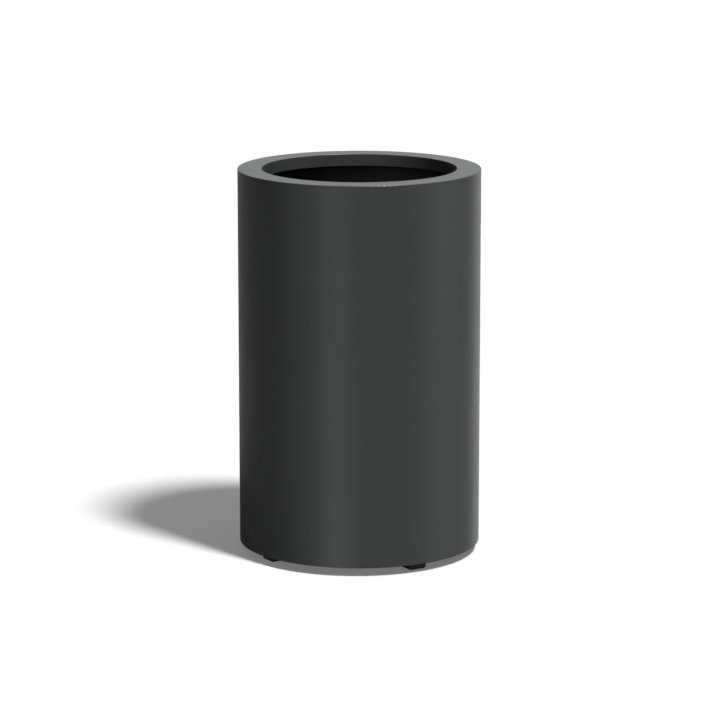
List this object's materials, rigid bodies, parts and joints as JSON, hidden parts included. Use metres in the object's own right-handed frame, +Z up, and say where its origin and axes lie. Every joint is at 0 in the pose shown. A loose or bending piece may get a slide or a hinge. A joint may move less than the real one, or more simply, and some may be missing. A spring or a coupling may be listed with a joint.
{
  "type": "planter",
  "caption": "Tall round planter with a flat rim, a lip turned down at the mouth, a black lining, a drained base and small square feet that lift it off the floor.",
  "frame": {"origin": "on the floor, on the axis of the round body", "axes": "+Z up along the axis of the body; +X and +Y each point midway between two feet, and the feet are on the diagonals"},
  "size_m": [0.4999, 0.5, 0.8],
  "materials": {
    "powder_coat": "satin dark grey powder coat on aluminium",
    "foot_rubber": "matte moulded black rubber",
    "black_moulding": "matte moulded black polypropylene",
    "black_sheet": "satin extruded black polyethylene sheet",
    "zinc_plated_steel": "satin zinc plating"
  },
  "bodies": {
    "root": {"shell": "powder_coat", "rim_ring": "powder_coat", "rim_lip": "powder_coat", "base_plate": "powder_coat", "cross_channel_long": "powder_coat", "cross_channel_short_1": "powder_coat", "cross_channel_short_2": "powder_coat", "foot_1": "foot_rubber", "foot_2": "foot_rubber", "foot_3": "foot_rubber", "foot_4": "foot_rubber", "foot_screws": "zinc_plated_steel", "foot_washers": "zinc_plated_steel", "rivet_nuts": "zinc_plated_steel", "drain_strainer_1": "black_moulding", "drain_strainer_2": "black_moulding", "drain_strainer_3": "black_moulding", "drain_strainer_4": "black_moulding", "wall_lining": "black_sheet", "floor_lining": "black_sheet"}
  },
  "joints": []
}
